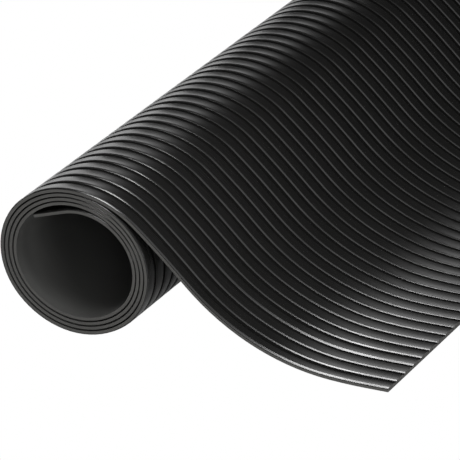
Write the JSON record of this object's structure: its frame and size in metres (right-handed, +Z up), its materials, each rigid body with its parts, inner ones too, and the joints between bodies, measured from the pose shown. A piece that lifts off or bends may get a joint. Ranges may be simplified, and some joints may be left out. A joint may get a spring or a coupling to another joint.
{
  "type": "ribbed runner mat",
  "caption": "Rubber runner mat with lengthwise ribs, coiled into a loose oval roll whose outer end slopes down and lies flat on the floor.",
  "frame": {"origin": "on the floor, under the middle of the bounding box", "axes": "+Z up, +Y along the roll's axis and across the ribs, +X from the roll towards the free end on the floor"},
  "size_m": [0.2869, 0.5976, 0.1052],
  "materials": {
    "mat_rubber": "black moulded rubber with a soft satin sheen, ribs on one face, smooth under face"
  },
  "bodies": {
    "root": {"ribbed_mat": "mat_rubber"}
  },
  "joints": []
}
